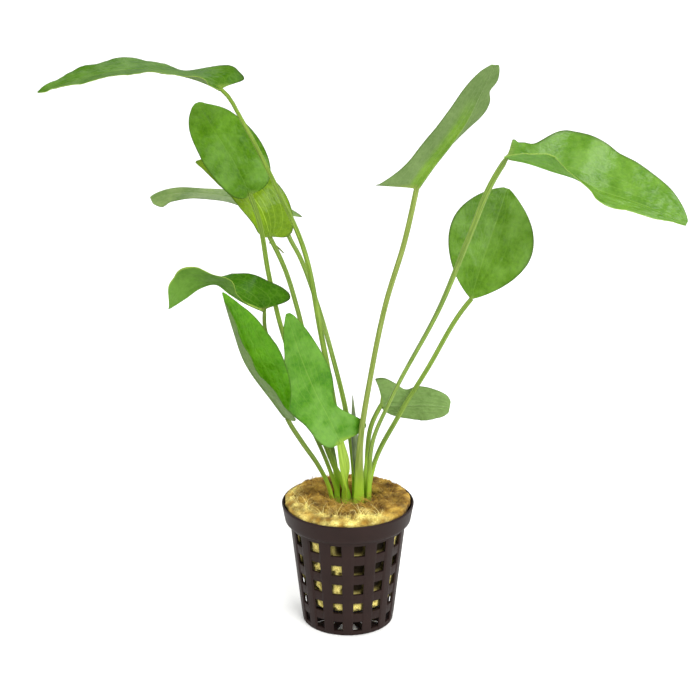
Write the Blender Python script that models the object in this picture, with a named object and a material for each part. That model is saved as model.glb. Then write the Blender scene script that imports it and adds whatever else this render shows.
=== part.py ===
"""Amazon sword plant in a 5 cm net pot.

The pot stands on z = 0 with its axis on the origin. +X runs to the right and +Y away from
the side that is seen first. Design lengths are millimetres and become metres in the meshes.
"""

import math

import bmesh
import bpy
import numpy as np

MM = 0.001
GAP = 0.3

# Net pot: radii of the outer face, and heights
RIM_RADIUS = 27.5
BAND_FOOT_RADIUS = 26.2
BODY_TOP_RADIUS = 24.2
BASE_RADIUS = 19.2
POT_HEIGHT = 53.0
BAND_FOOT = 45.8
BODY_TOP = 43.8
WALL = 1.0
FLOOR = 1.2
RIM_ROUNDING = 0.5

# Openings of the pot: 15 columns, four rows of windows over one row of foot notches
COLUMNS = 15
WINDOW_ROWS = (12.9, 22.0, 31.1, 40.2)
WINDOW_HEIGHT = 5.0
WINDOW_SHARE = 0.47
NOTCH = (2.0, 6.5)
FLOOR_SLOT = (8.5, 15.5)
HUB_RADIUS = 7.0

# Mineral wool plug, and the crown that sits in its pocket. The rings of the plug's top are
# (share of the way from the pot's axis to the pocket's, radius, rise over WOOL_TOP, lump).
WOOL_POINTS = 30
WOOL_FOOT = 9.0
WOOL_FOOT_RADIUS = 11.0
WOOL_SIDE_HEIGHTS = (10.5, 17.0, 26.0, 35.0)
WOOL_SIDE_LUMP = 0.6
WOOL_TOP = 52.6
WOOL_TOP_RINGS = ((0.2, 23.5, 0.3, 0.7), (0.6, 18.0, 1.6, 0.8), (1.0, 13.4, 1.4, 0.5), (1.0, 11.4, -1.2, 0.2))
WOOL_CLEARANCE = 0.7
POCKET_CENTRE = (1.5, 6.0)
CROWN_TOP = 42.0
CROWN_HEIGHT = 6.0
CROWN_RADIUS = 9.8
CROWN_POINTS = 16
CROWN_LUMP = 0.35
CROWN_PROFILE = ((0.55, 1.0), (0.8, 0.75), (0.97, 0.35), (1.0, 0.12), (0.93, 0.0))

# Leaves: a blade section has five points over its upper face and three under it
ACROSS = (-1.0, -0.5, 0.0, 0.5, 1.0)
BLADE_THICKNESS = 0.6
KEEL = 0.9
STALK_RINGS = 10
BLADE_RINGS = 17
LOBE_PEAK = 9.48
FLARE_PLACE = 0.1

# Each leaf: the points of its stalk and of its midrib, the ways its upper face looks from
# base to tip, and pairs of values for the left and the right half of the blade. half is the
# widest half width, lobe how far the basal lobe reaches back, fold the angle up from flat.
# dents are (place, width, left gain, right gain), and girth and depth the stalk's half axes.
LEAVES = {
    "leaf_1": dict(
        stalk=[(-0.8, 8.2, 42.3), (-1.2, 7.5, 58), (-6, 4, 96), (-11, -1, 128), (-18, -6, 166),
               (-27, -8, 188), (-41, -12, 218), (-46, -13, 227), (-48, -13, 229)],
        rib=[(-54, -13, 232), (-66, -16, 236), (-82, -20, 238), (-97, -25, 236),
             (-116, -30, 231)],
        face=[(0, -0.05, 1), (0, -0.05, 1), (0, -0.1, 1)],
        half=(16, 15), lobe=(0.1, 0.26), blunt=(0.85, 0.8), flare=(0, 2),
        fold=((14, 8, 8), (26, -3, 0, 6, 8, 11, 14)), girth=(1.7, 1.5, 1.4, 1.3, 1.2)),
    "leaf_2": dict(
        stalk=[(0.6, 4.2, 42.3), (-0.5, 4.5, 55), (-5, 5, 65), (-16, 6, 95), (-26, 8, 122),
               (-32, 10, 148), (-36, 11, 172), (-39, 12, 181)],
        rib=[(-45, 14, 193), (-54, 18, 207), (-61, 30, 215)],
        face=[(0.1, -0.9, 0.45), (0.1, -0.9, 0.45), (0, -0.8, 0.7)],
        half=(11, 13.5), lobe=(0.13, 0.12), reach=(1.0, 0.8), blunt=(0.75, 0.8)),
    "leaf_3": dict(
        stalk=[(-4.6, 9.6, 42.3), (-4.6, 10, 56), (-16, 17, 109), (-21, 20, 131), (-26, 23, 147),
               (-32, 24, 160)],
        rib=[(-36, 24, 173), (-46, 29, 182), (-63, 36, 189)],
        face=[(0.3, -0.85, 0.4), (0.3, -0.85, 0.4), (0.3, -0.8, 0.5)],
        half=(8, 12), lobe=(0.05, 0.2), fold=((20, 20), (8, 8))),
    "leaf_4": dict(
        stalk=[(3.2, 9.6, 42.3), (3, 10, 58), (-1, 18, 87), (-6, 23, 107), (-12, 29, 127),
               (-20, 36, 148), (-25, 42, 156), (-27, 46, 161)],
        rib=[(-41, 48, 168), (-60, 53, 171), (-75, 56, 170), (-84, 54, 168)],
        face=[(0, -0.1, 1), (0, -0.1, 1), (-0.4, -0.6, 0.6)],
        half=(8.5, 7.5), lobe=(0.15, 0.28), reach=(0.8, 0.6), blunt=(0.4, 0.45),
        fold=((5, 5), (36, 10, 0)), dents=((0.72, 0.16, -0.2, -0.35), (0.95, 0.06, 0.8, 0))),
    "leaf_5": dict(
        stalk=[(-3.4, 5, 42.3), (-4.2, 4.6, 54), (-7, 2, 65), (-20, -2, 98), (-28, -6, 117),
               (-33, -8, 132), (-33, -8, 139)],
        rib=[(-41, -12, 144), (-46, -14, 148), (-52, -17, 153), (-58, -20, 152), (-63, -23, 149),
             (-70, -26, 145)],
        face=[(0, -0.26, 0.97), (0, -0.26, 0.97), (0, -0.03, 1), (0, 0.28, 0.96), (0, 0.56, 0.83),
              (0, 0.77, 0.64), (0, 0.74, 0.67)],
        half=(13, 12.5), lobe=(0.0, 0.42), reach=(2.0, 0.8), blunt=(1.3, 0.8),
        fold=((50, 50, 33, 12, 20, 50, 57), (55, 55, 40, 16, 24, 45, 50)),
        dents=((0.68, 0.06, 0.1, 0), (0.8, 0.06, -0.12, 0), (0.93, 0.06, 0.25, 0))),
    "leaf_6": dict(
        stalk=[(-6, 2.5, 42.3), (-6.6, 1.6, 53), (-12, -10, 73), (-18, -16, 85), (-23, -22, 96),
               (-24, -24, 99)],
        rib=[(-29, -26, 107), (-40, -31, 126), (-44, -34, 140), (-48, -37, 156)],
        face=[(0.7, -0.7, 0.33)] * 2,
        half=(11, 14.5), lobe=(0.1, 0.0), reach=(0.5, 0.92), fold=((72, 72), (50, 50, 44))),
    "leaf_7": dict(
        stalk=[(-1.4, 0.6, 42.3), (-1.4, 0.2, 53), (-1, -6, 69), (-3, -8, 82)],
        rib=[(-6, -10, 90), (-13, -13, 106), (-19, -16, 123), (-24, -20, 142)],
        face=[(0.2, -0.85, 0.4)] * 2,
        half=(10, 9.5), lobe=(0.1, 0.12), reach=(0.75, 0.9), blunt=(0.8, 0.6), flare=(0, 7),
        dents=((0.36, 0.12, 0, -0.62), (0.52, 0.12, 0.47, 0)),
        girth=(1.0, 1.4, 2.1, 2.5, 1.6), depth=(1.0, 0.9, 0.8, 0.8, 0.8)),
    "leaf_8": dict(
        stalk=[(4.3, 0.9, 42.3), (4.5, 0.6, 54), (5, -6, 80), (9, -13, 112), (15, -20, 146),
               (22, -28, 174), (26, -32, 195)],
        rib=[(32, -36, 205), (38, -40, 214), (44, -46, 225), (48, -50, 235), (53, -56, 247)],
        face=[(-0.4, 0.8, 0.45)] * 2,
        half=(8, 10), lobe=(0.05, 0.17), blunt=(0.45, 0.4), flare=(0, 10),
        fold=((55, 50, 25, 0, 0), (0, 10, 5)),
        dents=((0.8, 0.05, -0.35, 0), (0.3, 0.15, -0.2, -0.2), (0.06, 0.04, 0, 0.4)),
        girth=(3.0, 2.2, 1.4, 1.2, 1.1, 1.1, 1.1, 1.1, 1.1)),
    "leaf_9": dict(
        stalk=[(8.4, 3.8, 42.3), (8.8, 3.6, 56), (10, 0, 79), (18, -4, 101), (37, -10, 142),
               (47, -14, 170), (56, -18, 195), (61, -19, 204)],
        rib=[(68, -21, 203), (78, -23, 200), (86, -26, 198), (96, -28, 193), (104, -31, 191),
             (114, -34, 188), (128, -38, 182)],
        face=[(0.35, -0.5, 0.8)] * 2,
        half=(18, 13), lobe=(0.1, 0.14), reach=(0.82, 0.72), blunt=(0.6, 0.85),
        fold=((35, 35), (40, 66, 40, 14, 10, 10)),
        dents=((0.02, 0.02, 0.3, 0), (0.11, 0.05, -0.3, 0), (0.2, 0.08, -0.5, 0)),
        girth=(1.8, 1.4, 1.2, 1.2, 1.2)),
    "leaf_10": dict(
        stalk=[(8.2, 7.8, 42.3), (8.6, 8.2, 54), (11, 11, 65), (21, 14, 85), (33, 17, 105),
               (48, 22, 130), (51, 22, 134)],
        rib=[(54, 23, 145), (60, 28, 162), (66, 36, 178)],
        face=[(-0.1, -0.93, 0.35)] * 2,
        half=(17.5, 18.5), lobe=(0.02, 0.02), reach=(1.2, 1.05), blunt=(0.72, 0.85)),
    "leaf_11": dict(
        stalk=[(6.6, 11.3, 42.3), (6.9, 11.8, 54), (8, 17, 66), (10, 18, 80), (14, 20, 88)],
        rib=[(23, 20, 88), (32, 18, 89), (43, 17, 88)],
        face=[(0, 1, 0.1)] * 2,
        half=(8.3, 9), lobe=(0.0, 0.28), reach=(1.25, 0.8), blunt=(0.38, 0.35), flare=(0, 4),
        fold=((10, 10), (5, 5)), dents=((0.3, 0.12, 0, 0.2), (0.53, 0.08, 0, -0.25))),
}
PLAIN_LEAF = dict(
    reach=(0.75, 0.75), blunt=(0.85, 0.85), fold=((8, 8), (8, 8)), flare=(0, 0), dents=(),
    girth=(1.7, 1.2, 1.0, 1.0, 1.0), depth=(1.1, 1.0, 1.0, 1.0, 0.9))
SPEAR = [(4.2, 5.6, 42.3), (4.3, 5.8, 54), (3, 8, 77), (2, 10, 96)]
SPEAR_RADIUS = (1.3, 1.4, 1.5, 1.3, 0.2)

POT_COLOUR = "3A3031"
WOOL_COLOUR = "BE9A50"
CROWN_COLOUR = "8A7B3A"
LEAF_COLOUR = "62A02C"
SPEAR_COLOUR = "5C6B4A"


def unit(vectors):
    return vectors / np.linalg.norm(vectors, axis=-1, keepdims=True)


def smooth_path(points, count):
    """Even points and unit tangents along one smooth curve through the given points, and its length."""
    p = np.array(points, float)
    gap = np.linalg.norm(np.diff(p, axis=0), axis=1)
    knots = np.concatenate([[0.0], np.cumsum(gap)])
    secant = np.diff(p, axis=0) / gap[:, None]
    slope = np.empty_like(p)
    weighted = secant[:-1] * gap[1:, None] + secant[1:] * gap[:-1, None]
    slope[1:-1] = weighted / (gap[1:] + gap[:-1])[:, None]
    slope[0] = 1.5 * secant[0] - 0.5 * slope[1]
    slope[-1] = 1.5 * secant[-1] - 0.5 * slope[-2]
    s = np.linspace(0, knots[-1], 40 * (len(p) - 1) + 1)
    i = np.clip(np.searchsorted(knots, s, side="right") - 1, 0, len(p) - 2)
    x = ((s - knots[i]) / gap[i])[:, None]
    dense = (
        (2 * x**3 - 3 * x**2 + 1) * p[i]
        + (x**3 - 2 * x**2 + x) * gap[i][:, None] * slope[i]
        + (3 * x**2 - 2 * x**3) * p[i + 1]
        + (x**3 - x**2) * gap[i][:, None] * slope[i + 1]
    )
    run = np.concatenate([[0.0], np.cumsum(np.linalg.norm(np.diff(dense, axis=0), axis=1))])
    even = np.linspace(0, run[-1], count)
    out = np.stack([np.interp(even, run, dense[:, axis]) for axis in range(3)], axis=1)
    return out, unit(np.gradient(out, axis=0)), run[-1]


def through(keys, s):
    """The value at s of a smooth curve through values evenly spaced from 0 to 1."""
    k = np.array(keys, float)
    spans = len(k) - 1
    slope = np.gradient(k, axis=0)
    i = np.clip((np.asarray(s) * spans).astype(int), 0, spans - 1)
    x = s * spans - i
    if k.ndim > 1:
        i = i[:, 0]
    return (
        (2 * x**3 - 3 * x**2 + 1) * k[i]
        + (x**3 - 2 * x**2 + x) * slope[i]
        + (3 * x**2 - 2 * x**3) * k[i + 1]
        + (x**3 - x**2) * slope[i + 1]
    )


def blade_frame(leaf, count):
    """Points, tangents and upper-face normals along the midrib, and its length."""
    rib, tangent, length = smooth_path([leaf["stalk"][-1], *leaf["rib"]], count)
    looks = unit(np.array(leaf["face"], float))
    normal = through(looks, np.linspace(0, 1, count)[:, None])
    normal = unit(normal - (normal * tangent).sum(1)[:, None] * tangent)
    return rib, tangent, normal, length


def blade_grid(leaf, us, vs):
    """Middle surface of the blade and its normals, for each u along it and v across it."""
    steps = 120
    rib, tangent, normal, length = blade_frame(leaf, steps + 1)
    side = np.cross(tangent, normal)
    u, v = np.meshgrid(us, vs, indexing="ij")

    def by_side(pair):
        return np.where(v < 0, pair[0], pair[1])

    hump = LOBE_PEAK * u * (1 - u) ** 3
    along = length * (u - by_side(leaf["lobe"]) * hump * v**2)
    swell = np.sin(np.pi * u ** by_side(leaf["reach"])) ** by_side(leaf["blunt"])
    for place, width, left, right in leaf["dents"]:
        swell = swell * (1 + by_side((left, right)) * np.exp(-(((u - place) / width) ** 2)))
    flare = by_side(leaf["flare"]) * u / FLARE_PLACE * np.exp(1 - u / FLARE_PLACE) * v**2
    across = by_side(leaf["half"]) * swell * np.abs(v) + flare
    s = np.clip(along / length, 0, 1)
    fold = np.radians(by_side([through(keys, s) for keys in leaf["fold"]]))
    at = s * steps
    low = np.clip(at.astype(int), 0, steps - 1)
    part = (at - low)[..., None]

    def pick(values):
        return values[low] * (1 - part) + values[low + 1] * part

    centre = pick(rib) + np.minimum(along, 0)[..., None] * tangent[0]
    out = (np.sign(v) * across * np.cos(fold))[..., None]
    up = (across * np.sin(fold))[..., None]
    return centre + pick(side) * out + pick(normal) * up, pick(normal)


def stalk_sections(leaf, turned_to):
    """Rings round the stalk, from a level foot up to the blade. turned_to is the foot's upper side."""
    path, tangent, _ = smooth_path(leaf["stalk"], STALK_RINGS)
    blade_normal = blade_frame(leaf, 3)[2][0]
    blade_tangent = blade_frame(leaf, 3)[1][0]
    tangent[0] = (0, 0, 1)
    tangent[-1] = unit(tangent[-1] + blade_tangent)
    share = np.linspace(0, 1, STALK_RINGS)
    turn = (share * share * (3 - 2 * share))[:, None]
    normal = np.array(turned_to) * (1 - turn) + blade_normal * turn
    normal = unit(normal - (normal * tangent).sum(1)[:, None] * tangent)
    side = np.cross(tangent, normal)
    girth = through(leaf["girth"], share)[:, None]
    depth = through(leaf["depth"], share)[:, None]
    rings = []
    for angle in (180, 135, 90, 45, 0, -45, -90, -135):
        wide, high = math.cos(math.radians(angle)), math.sin(math.radians(angle))
        rings.append(path + side * girth * wide + normal * depth * high)
    return list(np.stack(rings, axis=1))


def blade_sections(leaf):
    """Rings round the blade: over its upper face from left to right, and back under it."""
    us = 1 - (1 - np.linspace(0.03, 0.985, BLADE_RINGS)) ** 1.15
    grid, normal = blade_grid(leaf, us, np.array(ACROSS))
    u = us[:, None, None]
    thin = BLADE_THICKNESS / 2 * np.array([0, 1, 1, 1, 0])[None, :, None]
    keel = KEEL * (1 - u) + 0.15
    over = grid + normal * thin
    under = grid - normal * thin
    rings = []
    for i in range(BLADE_RINGS):
        rib = under[i, 2] - normal[i, 2] * keel[i, 0]
        rings.append(np.array([*over[i], under[i, 3], rib, under[i, 1]]))
    return rings


def mesh_object(name, bm, colour, roughness):
    """A named object from a bmesh in millimetres, smooth shaded, with its own material."""
    bmesh.ops.recalc_face_normals(bm, faces=bm.faces)
    for vertex in bm.verts:
        vertex.co *= MM
    mesh = bpy.data.meshes.new(name)
    bm.to_mesh(mesh)
    bm.free()
    mesh.shade_smooth()
    mesh.set_sharp_from_angle(angle=math.radians(40))
    mesh.materials.append(finish(name, colour, roughness))
    thing = bpy.data.objects.new(name, mesh)
    bpy.context.scene.collection.objects.link(thing)
    return thing


def finish(name, colour, roughness):
    """A Principled material whose colour is given as sRGB hex."""
    linear = []
    for place in (0, 2, 4):
        value = int(colour[place:place + 2], 16) / 255
        linear.append(value / 12.92 if value <= 0.04045 else ((value + 0.055) / 1.055) ** 2.4)
    material = bpy.data.materials.new(name)
    material.use_nodes = True
    shader = material.node_tree.nodes["Principled BSDF"]
    shader.inputs["Base Color"].default_value = (*linear, 1)
    shader.inputs["Roughness"].default_value = roughness
    shader.inputs["Metallic"].default_value = 0
    return material


def loft(rings):
    """A closed skin over rings that have the same even number of points.

    Opposite sides are split along the same diagonals, so the two faces of a thin blade stay apart.
    """
    bm = bmesh.new()
    loops = [[bm.verts.new(point) for point in ring] for ring in rings]
    half = len(loops[0]) // 2
    for lower, upper in zip(loops, loops[1:]):
        for i in range(half):
            rising = (lower[i].co - upper[i + 1].co).length <= (lower[i + 1].co - upper[i].co).length
            for a, b in ((i, i + 1), (-i, -i - 1)):
                bm.faces.new((lower[a], lower[b], upper[b if rising else a]))
                bm.faces.new((lower[a if rising else b], upper[a], upper[b]))
    for ring in (loops[0], loops[-1]):
        quarter = half // 2
        middle = bm.verts.new((ring[quarter].co + ring[quarter + half].co) / 2)
        for i in range(2 * half):
            bm.faces.new((ring[i - 1], ring[i], middle))
    return bm


def pot_stations():
    """(outside radius and height, inside radius and height, is the span above open) up the pot."""
    def body(height):
        return BASE_RADIUS + (BODY_TOP_RADIUS - BASE_RADIUS) * height / BODY_TOP

    stations = [((0, 0), (0, FLOOR), False), ((HUB_RADIUS, 0), (HUB_RADIUS, FLOOR), False)]
    for radius, is_open in zip(FLOOR_SLOT, (True, False)):
        stations.append(((radius, 0), (radius, FLOOR), is_open))
    stations.append(((BASE_RADIUS, 0), (BASE_RADIUS - WALL, FLOOR), False))
    edges = list(NOTCH)
    for middle in WINDOW_ROWS:
        edges += [middle - WINDOW_HEIGHT / 2, middle + WINDOW_HEIGHT / 2]
    for i, height in enumerate(edges):
        radius = body(height)
        stations.append(((radius, height), (radius - WALL, height), i % 2 == 0))
    inner = POT_HEIGHT - RIM_ROUNDING
    top = RIM_RADIUS - RIM_ROUNDING
    stations.append(((BODY_TOP_RADIUS, BODY_TOP), (BODY_TOP_RADIUS - WALL, BODY_TOP + WALL / 2), False))
    stations.append(
        ((BAND_FOOT_RADIUS, BAND_FOOT), (BAND_FOOT_RADIUS - WALL, BAND_FOOT + WALL / 2), False))
    stations.append(((RIM_RADIUS, inner), (RIM_RADIUS - WALL, inner), False))
    stations.append(((top, POT_HEIGHT), (RIM_RADIUS - WALL, POT_HEIGHT), False))
    return stations


def pot_angles():
    """Angles from the -Y direction, and whether the span after each one holds a window."""
    pitch = 2 * math.pi / COLUMNS
    angles = []
    for column in range(COLUMNS):
        middle = pitch * (column + 0.5)
        half = pitch * WINDOW_SHARE / 2
        angles += [(middle - half, True), (middle + half, False), (middle + pitch / 2, False)]
    return angles


def build_pot():
    """The pot as one thick sheet from the middle of its floor to its rim, open at each window."""
    bm = bmesh.new()
    stations = pot_stations()
    angles = pot_angles()
    count = len(angles)
    grids = []
    for face in (0, 1):
        grid = []
        for station in stations:
            radius, height = station[face]
            if radius == 0:
                grid.append([bm.verts.new((0, 0, height))] * count)
                continue
            ring = [(radius * math.sin(a), -radius * math.cos(a), height) for a, _ in angles]
            grid.append([bm.verts.new(point) for point in ring])
        grids.append(grid)
    outside, inside = grids

    def is_open(row, column):
        return stations[row][2] and angles[column % count][1]

    for row in range(len(stations) - 1):
        for i in range(count):
            j = (i + 1) % count
            if is_open(row, i):
                for a, b in (((row, i), (row, j)), ((row + 1, i), (row + 1, j)),
                             ((row, i), (row + 1, i)), ((row, j), (row + 1, j))):
                    bm.faces.new((outside[a[0]][a[1]], outside[b[0]][b[1]],
                                  inside[b[0]][b[1]], inside[a[0]][a[1]]))
                continue
            for grid in grids:
                corners = [grid[row][i], grid[row][j], grid[row + 1][j], grid[row + 1][i]]
                bm.faces.new(list(dict.fromkeys(corners)))
    for i in range(count):
        j = (i + 1) % count
        bm.faces.new((outside[-1][i], outside[-1][j], inside[-1][j], inside[-1][i]))
    return mesh_object("net_pot", bm, POT_COLOUR, 0.38)


def pot_inside(height):
    """Radius of the pot's inner face at a height."""
    rows = [station[1] for station in pot_stations()[4:]]
    return float(np.interp(height, [row[1] for row in rows], [row[0] for row in rows]))


def lumpy_ring(centre, radius, height, lump, phase, count):
    """A ring of points whose radius and height swing in and down by up to lump."""
    turn = np.linspace(0, 2 * math.pi, count, endpoint=False)
    wave = lump * ((np.sin(3 * turn + phase) + 0.6 * np.sin(5 * turn + 2.3 * phase)) / 1.6 - 1) / 2
    x = centre[0] + (radius + wave) * np.sin(turn)
    y = centre[1] - (radius + wave) * np.cos(turn)
    return np.stack([x, y, height + wave], axis=1)


def build_wool():
    """The plug: a felted lump that fills the taper of the pot, with a pocket for the crown."""
    neck = BODY_TOP + WALL / 2
    band = BAND_FOOT + WALL
    sides = [(0, WOOL_FOOT_RADIUS, WOOL_FOOT, WOOL_SIDE_LUMP)]
    for height in WOOL_SIDE_HEIGHTS:
        sides.append((0, pot_inside(height) - WOOL_CLEARANCE, height, WOOL_SIDE_LUMP))
    for height in (neck, band, WOOL_TOP - WALL):
        lump = WOOL_SIDE_LUMP / 2
        sides.append((0, pot_inside(height) - WOOL_CLEARANCE, height + lump, lump))
    top = [(share, radius, WOOL_TOP + rise, lump) for share, radius, rise, lump in WOOL_TOP_RINGS]
    pocket = (1.0, CROWN_RADIUS + 2 * GAP, CROWN_TOP - CROWN_HEIGHT - CROWN_LUMP - GAP, 0.0)
    rings = []
    for i, (share, radius, height, lump) in enumerate([*sides, *top, pocket]):
        centre = (POCKET_CENTRE[0] * share, POCKET_CENTRE[1] * share)
        rings.append(lumpy_ring(centre, radius, height, lump, 1.3 * i, WOOL_POINTS))
    return mesh_object("rockwool_plug", loft(rings), WOOL_COLOUR, 0.95)


def build_crown():
    """The short knotted stock that every leaf grows from, flat on top."""
    rings = []
    for share, drop in CROWN_PROFILE:
        lump = CROWN_LUMP if drop else 0.0
        height = CROWN_TOP - CROWN_HEIGHT * drop
        rings.append(lumpy_ring(POCKET_CENTRE, CROWN_RADIUS * share, height, lump, 5 * drop, CROWN_POINTS))
    return mesh_object("crown", loft(rings), CROWN_COLOUR, 0.8)


def build_leaf(name, leaf):
    """A leaf in one piece: sheathed stalk, then blade, skinned over one run of rings."""
    leaf = {**PLAIN_LEAF, **leaf}
    foot = np.array(leaf["stalk"][0][:2])
    inward = np.array([*(np.array(POCKET_CENTRE) - foot), 0.0])
    rings = stalk_sections(leaf, unit(inward)) + blade_sections(leaf)
    return mesh_object(name, loft(rings), LEAF_COLOUR, 0.42)


def build_spear():
    """The youngest leaf, still rolled up into a point."""
    path, _, _ = smooth_path(SPEAR, 10)
    radius = through(SPEAR_RADIUS, np.linspace(0, 1, 10))
    rings = []
    for (x, y, z), r in zip(path, radius):
        rings.append([(x + r * math.sin(a), y - r * math.cos(a), z)
                      for a in np.linspace(0, 2 * math.pi, 8, endpoint=False)])
    return mesh_object("spear_leaf", loft(rings), SPEAR_COLOUR, 0.5)


def main():
    for thing in list(bpy.data.objects):
        bpy.data.objects.remove(thing)
    build_pot()
    build_wool()
    build_crown()
    for name, leaf in LEAVES.items():
        build_leaf(name, leaf)
    build_spear()


main()
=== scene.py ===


# %% [markdown]
# # A young amazon sword plant in its net pot
# A nursery raises this water plant in a small plastic basket. Its roots sit in a plug of mineral
# wool, and every leaf rises on its own stalk from one short crown. This lesson dresses the plain
# solids of that plant: it gives the basket its ribs and windows, the plug its fibres, and each
# leaf its thin veined blade. The solids are loaded first, because every size here comes from them.

# %% Load the solids
import math

import bmesh
import bpy
import numpy as np
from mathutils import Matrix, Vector, noise


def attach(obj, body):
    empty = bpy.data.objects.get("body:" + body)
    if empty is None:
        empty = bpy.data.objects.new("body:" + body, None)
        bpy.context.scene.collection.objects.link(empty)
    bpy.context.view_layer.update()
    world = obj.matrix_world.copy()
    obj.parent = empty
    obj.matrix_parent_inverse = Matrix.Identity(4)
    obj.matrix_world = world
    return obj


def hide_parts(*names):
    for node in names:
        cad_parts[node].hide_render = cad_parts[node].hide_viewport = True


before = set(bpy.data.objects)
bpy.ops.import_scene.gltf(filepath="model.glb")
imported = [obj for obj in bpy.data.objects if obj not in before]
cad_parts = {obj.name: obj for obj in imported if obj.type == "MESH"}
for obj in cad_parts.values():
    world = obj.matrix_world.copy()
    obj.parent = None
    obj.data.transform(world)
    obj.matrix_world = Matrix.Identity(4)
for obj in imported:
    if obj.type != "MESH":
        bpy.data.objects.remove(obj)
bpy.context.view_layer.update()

MM = 0.001

# %% [markdown]
# ## Small helpers
# A colour picked from a screen is sRGB, while shaders count in linear light, so one function turns
# the one into the other. Another gives each tree its own function that adds a node, sets what it is
# told to and links the rest, so that a whole material reads as a list of nodes. Blender names a
# node by its family and its kind, and the kind alone is enough here. Meshes are made from points
# in millimetres, which is how the plant is measured.

# %% Helpers for colours and nodes
NODE_FAMILIES = ("ShaderNode", "GeometryNode", "FunctionNode", "")


def linear(code):
    """sRGB hex as a linear colour with full alpha."""
    parts = [int(code[place:place + 2], 16) / 255 for place in (0, 2, 4)]
    return (*[c / 12.92 if c <= 0.04045 else ((c + 0.055) / 1.055) ** 2.4 for c in parts], 1.0)


def plug(node, sockets):
    """Sets a node's inputs, by name or in order, to a value, a hex colour, or what a node puts out."""
    live = [socket for socket in node.inputs if socket.enabled]
    for label, value in sockets.items() if isinstance(sockets, dict) else enumerate(sockets):
        socket = live[label] if isinstance(label, int) else next(s for s in live if s.name == label)
        if isinstance(value, bpy.types.Node):
            value = next(output for output in value.outputs if output.enabled)
        if isinstance(value, bpy.types.NodeSocket):
            node.id_data.links.new(value, socket)
        else:
            hex_colour = socket.type == "RGBA" and isinstance(value, str)
            socket.default_value = linear(value) if hex_colour else value


def adder(tree):
    """A function that adds a node to the tree: its kind, what goes into it, and its settings."""
    def add(kind, sockets=(), **settings):
        full_kind = next(family + kind for family in NODE_FAMILIES if hasattr(bpy.types, family + kind))
        node = tree.nodes.new(full_kind)
        for label, value in settings.items():
            setattr(node, label, value)
        plug(node, sockets)
        return node
    return add


def new_finish(name, **values):
    """A material, the function that adds to its tree, and its Principled shader with these values."""
    material = bpy.data.materials.new(name)
    material.use_nodes = True
    shader = material.node_tree.nodes["Principled BSDF"]
    plug(shader, {label.replace("_", " "): value for label, value in values.items()})
    return material, adder(material.node_tree), shader


def set_ramp(node, stops):
    """Gives a colour ramp its stops, each a place and a hex colour or a grey value."""
    elements = node.color_ramp.elements
    while len(elements) < len(stops):
        elements.new(0.5)
    for element, (place, value) in zip(elements, stops):
        element.position = place
        element.color = linear(value) if isinstance(value, str) else (value, value, value, 1.0)
    return node


# %% Helpers for objects and meshes
def new_object(name, data):
    """An object in the scene, at the origin, for a mesh, a lamp or a camera."""
    thing = bpy.data.objects.new(name, data)
    bpy.context.scene.collection.objects.link(thing)
    return thing


def mesh_object(name, points, faces, material, values=None):
    """A smooth closed object from points in millimetres, with a float attribute for each row of values."""
    mesh = bpy.data.meshes.new(name)
    mesh.from_pydata((np.asarray(points) * MM).tolist(), [], faces)
    for label, row in (values or {}).items():
        mesh.attributes.new(label, "FLOAT", "POINT").data.foreach_set("value", np.asarray(row, np.float32))
    turned = bmesh.new()
    turned.from_mesh(mesh)
    bmesh.ops.recalc_face_normals(turned, faces=turned.faces)
    turned.to_mesh(mesh)
    turned.free()
    mesh.shade_smooth()
    mesh.materials.append(material)
    return new_object(name, mesh)


def turns(count):
    """Evenly spaced angles of a whole turn."""
    return np.linspace(0, 2 * math.pi, count, endpoint=False)


def level_rings(centres, reach, turn):
    """A level ring round each centre, counted from the front, with its reach at each turn."""
    around = np.stack([np.sin(turn), -np.cos(turn), np.zeros_like(turn)], axis=1)
    return centres[:, None] + reach[..., None] * around


def skin(rings):
    """Points and faces of a closed skin over rings that have the same number of points."""
    count = len(rings[0])
    points = np.concatenate([*rings, [np.mean(rings[0], axis=0)], [np.mean(rings[-1], axis=0)]])
    foot, tip = len(points) - 2, len(points) - 1
    last = (len(rings) - 1) * count
    steps = [(i, (i + 1) % count) for i in range(count)]
    faces = [(row + i, row + j, row + count + j, row + count + i)
             for row in range(0, last, count) for i, j in steps]
    for i, j in steps:
        faces += [(j, i, foot), (last + i, last + j, tip)]
    return points, faces


def settle(thing, slot, *nodes):
    """Fixes a finished piece to the body and hides the solids that it stands for. The slot is not used."""
    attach(thing, "root")
    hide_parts(*nodes)
    print(thing.name, len(thing.data.polygons), "faces")


# %% [markdown]
# ## Camera, floor and light
# The plant was photographed from a little above, with a long lens that keeps upright lines
# upright. The floor is a pale matt board. Most of the light comes from all round, as in a white
# tent, three soft lamps give the leaves their gloss, and a fourth one whitens the far floor.

# %% Camera
# The place and the tilt are those from which the pot's rim and foot look as flat as they do
camera_lens = bpy.data.cameras.new("camera")
camera_lens.lens = 100
camera_lens.sensor_width = 36
camera_lens.clip_start = 0.01
camera = new_object("camera", camera_lens)
camera.location = (0.0009, -0.7443, 0.3786)
camera.rotation_euler = (math.radians(70.8), 0, 0)
bpy.context.scene.camera = camera

# %% Floor and light
FLOOR_HALF = 4.0
MID_PLANT, FAR_FLOOR = Vector((0, 0, 0.12)), Vector((0, 1.9, 0))
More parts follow.
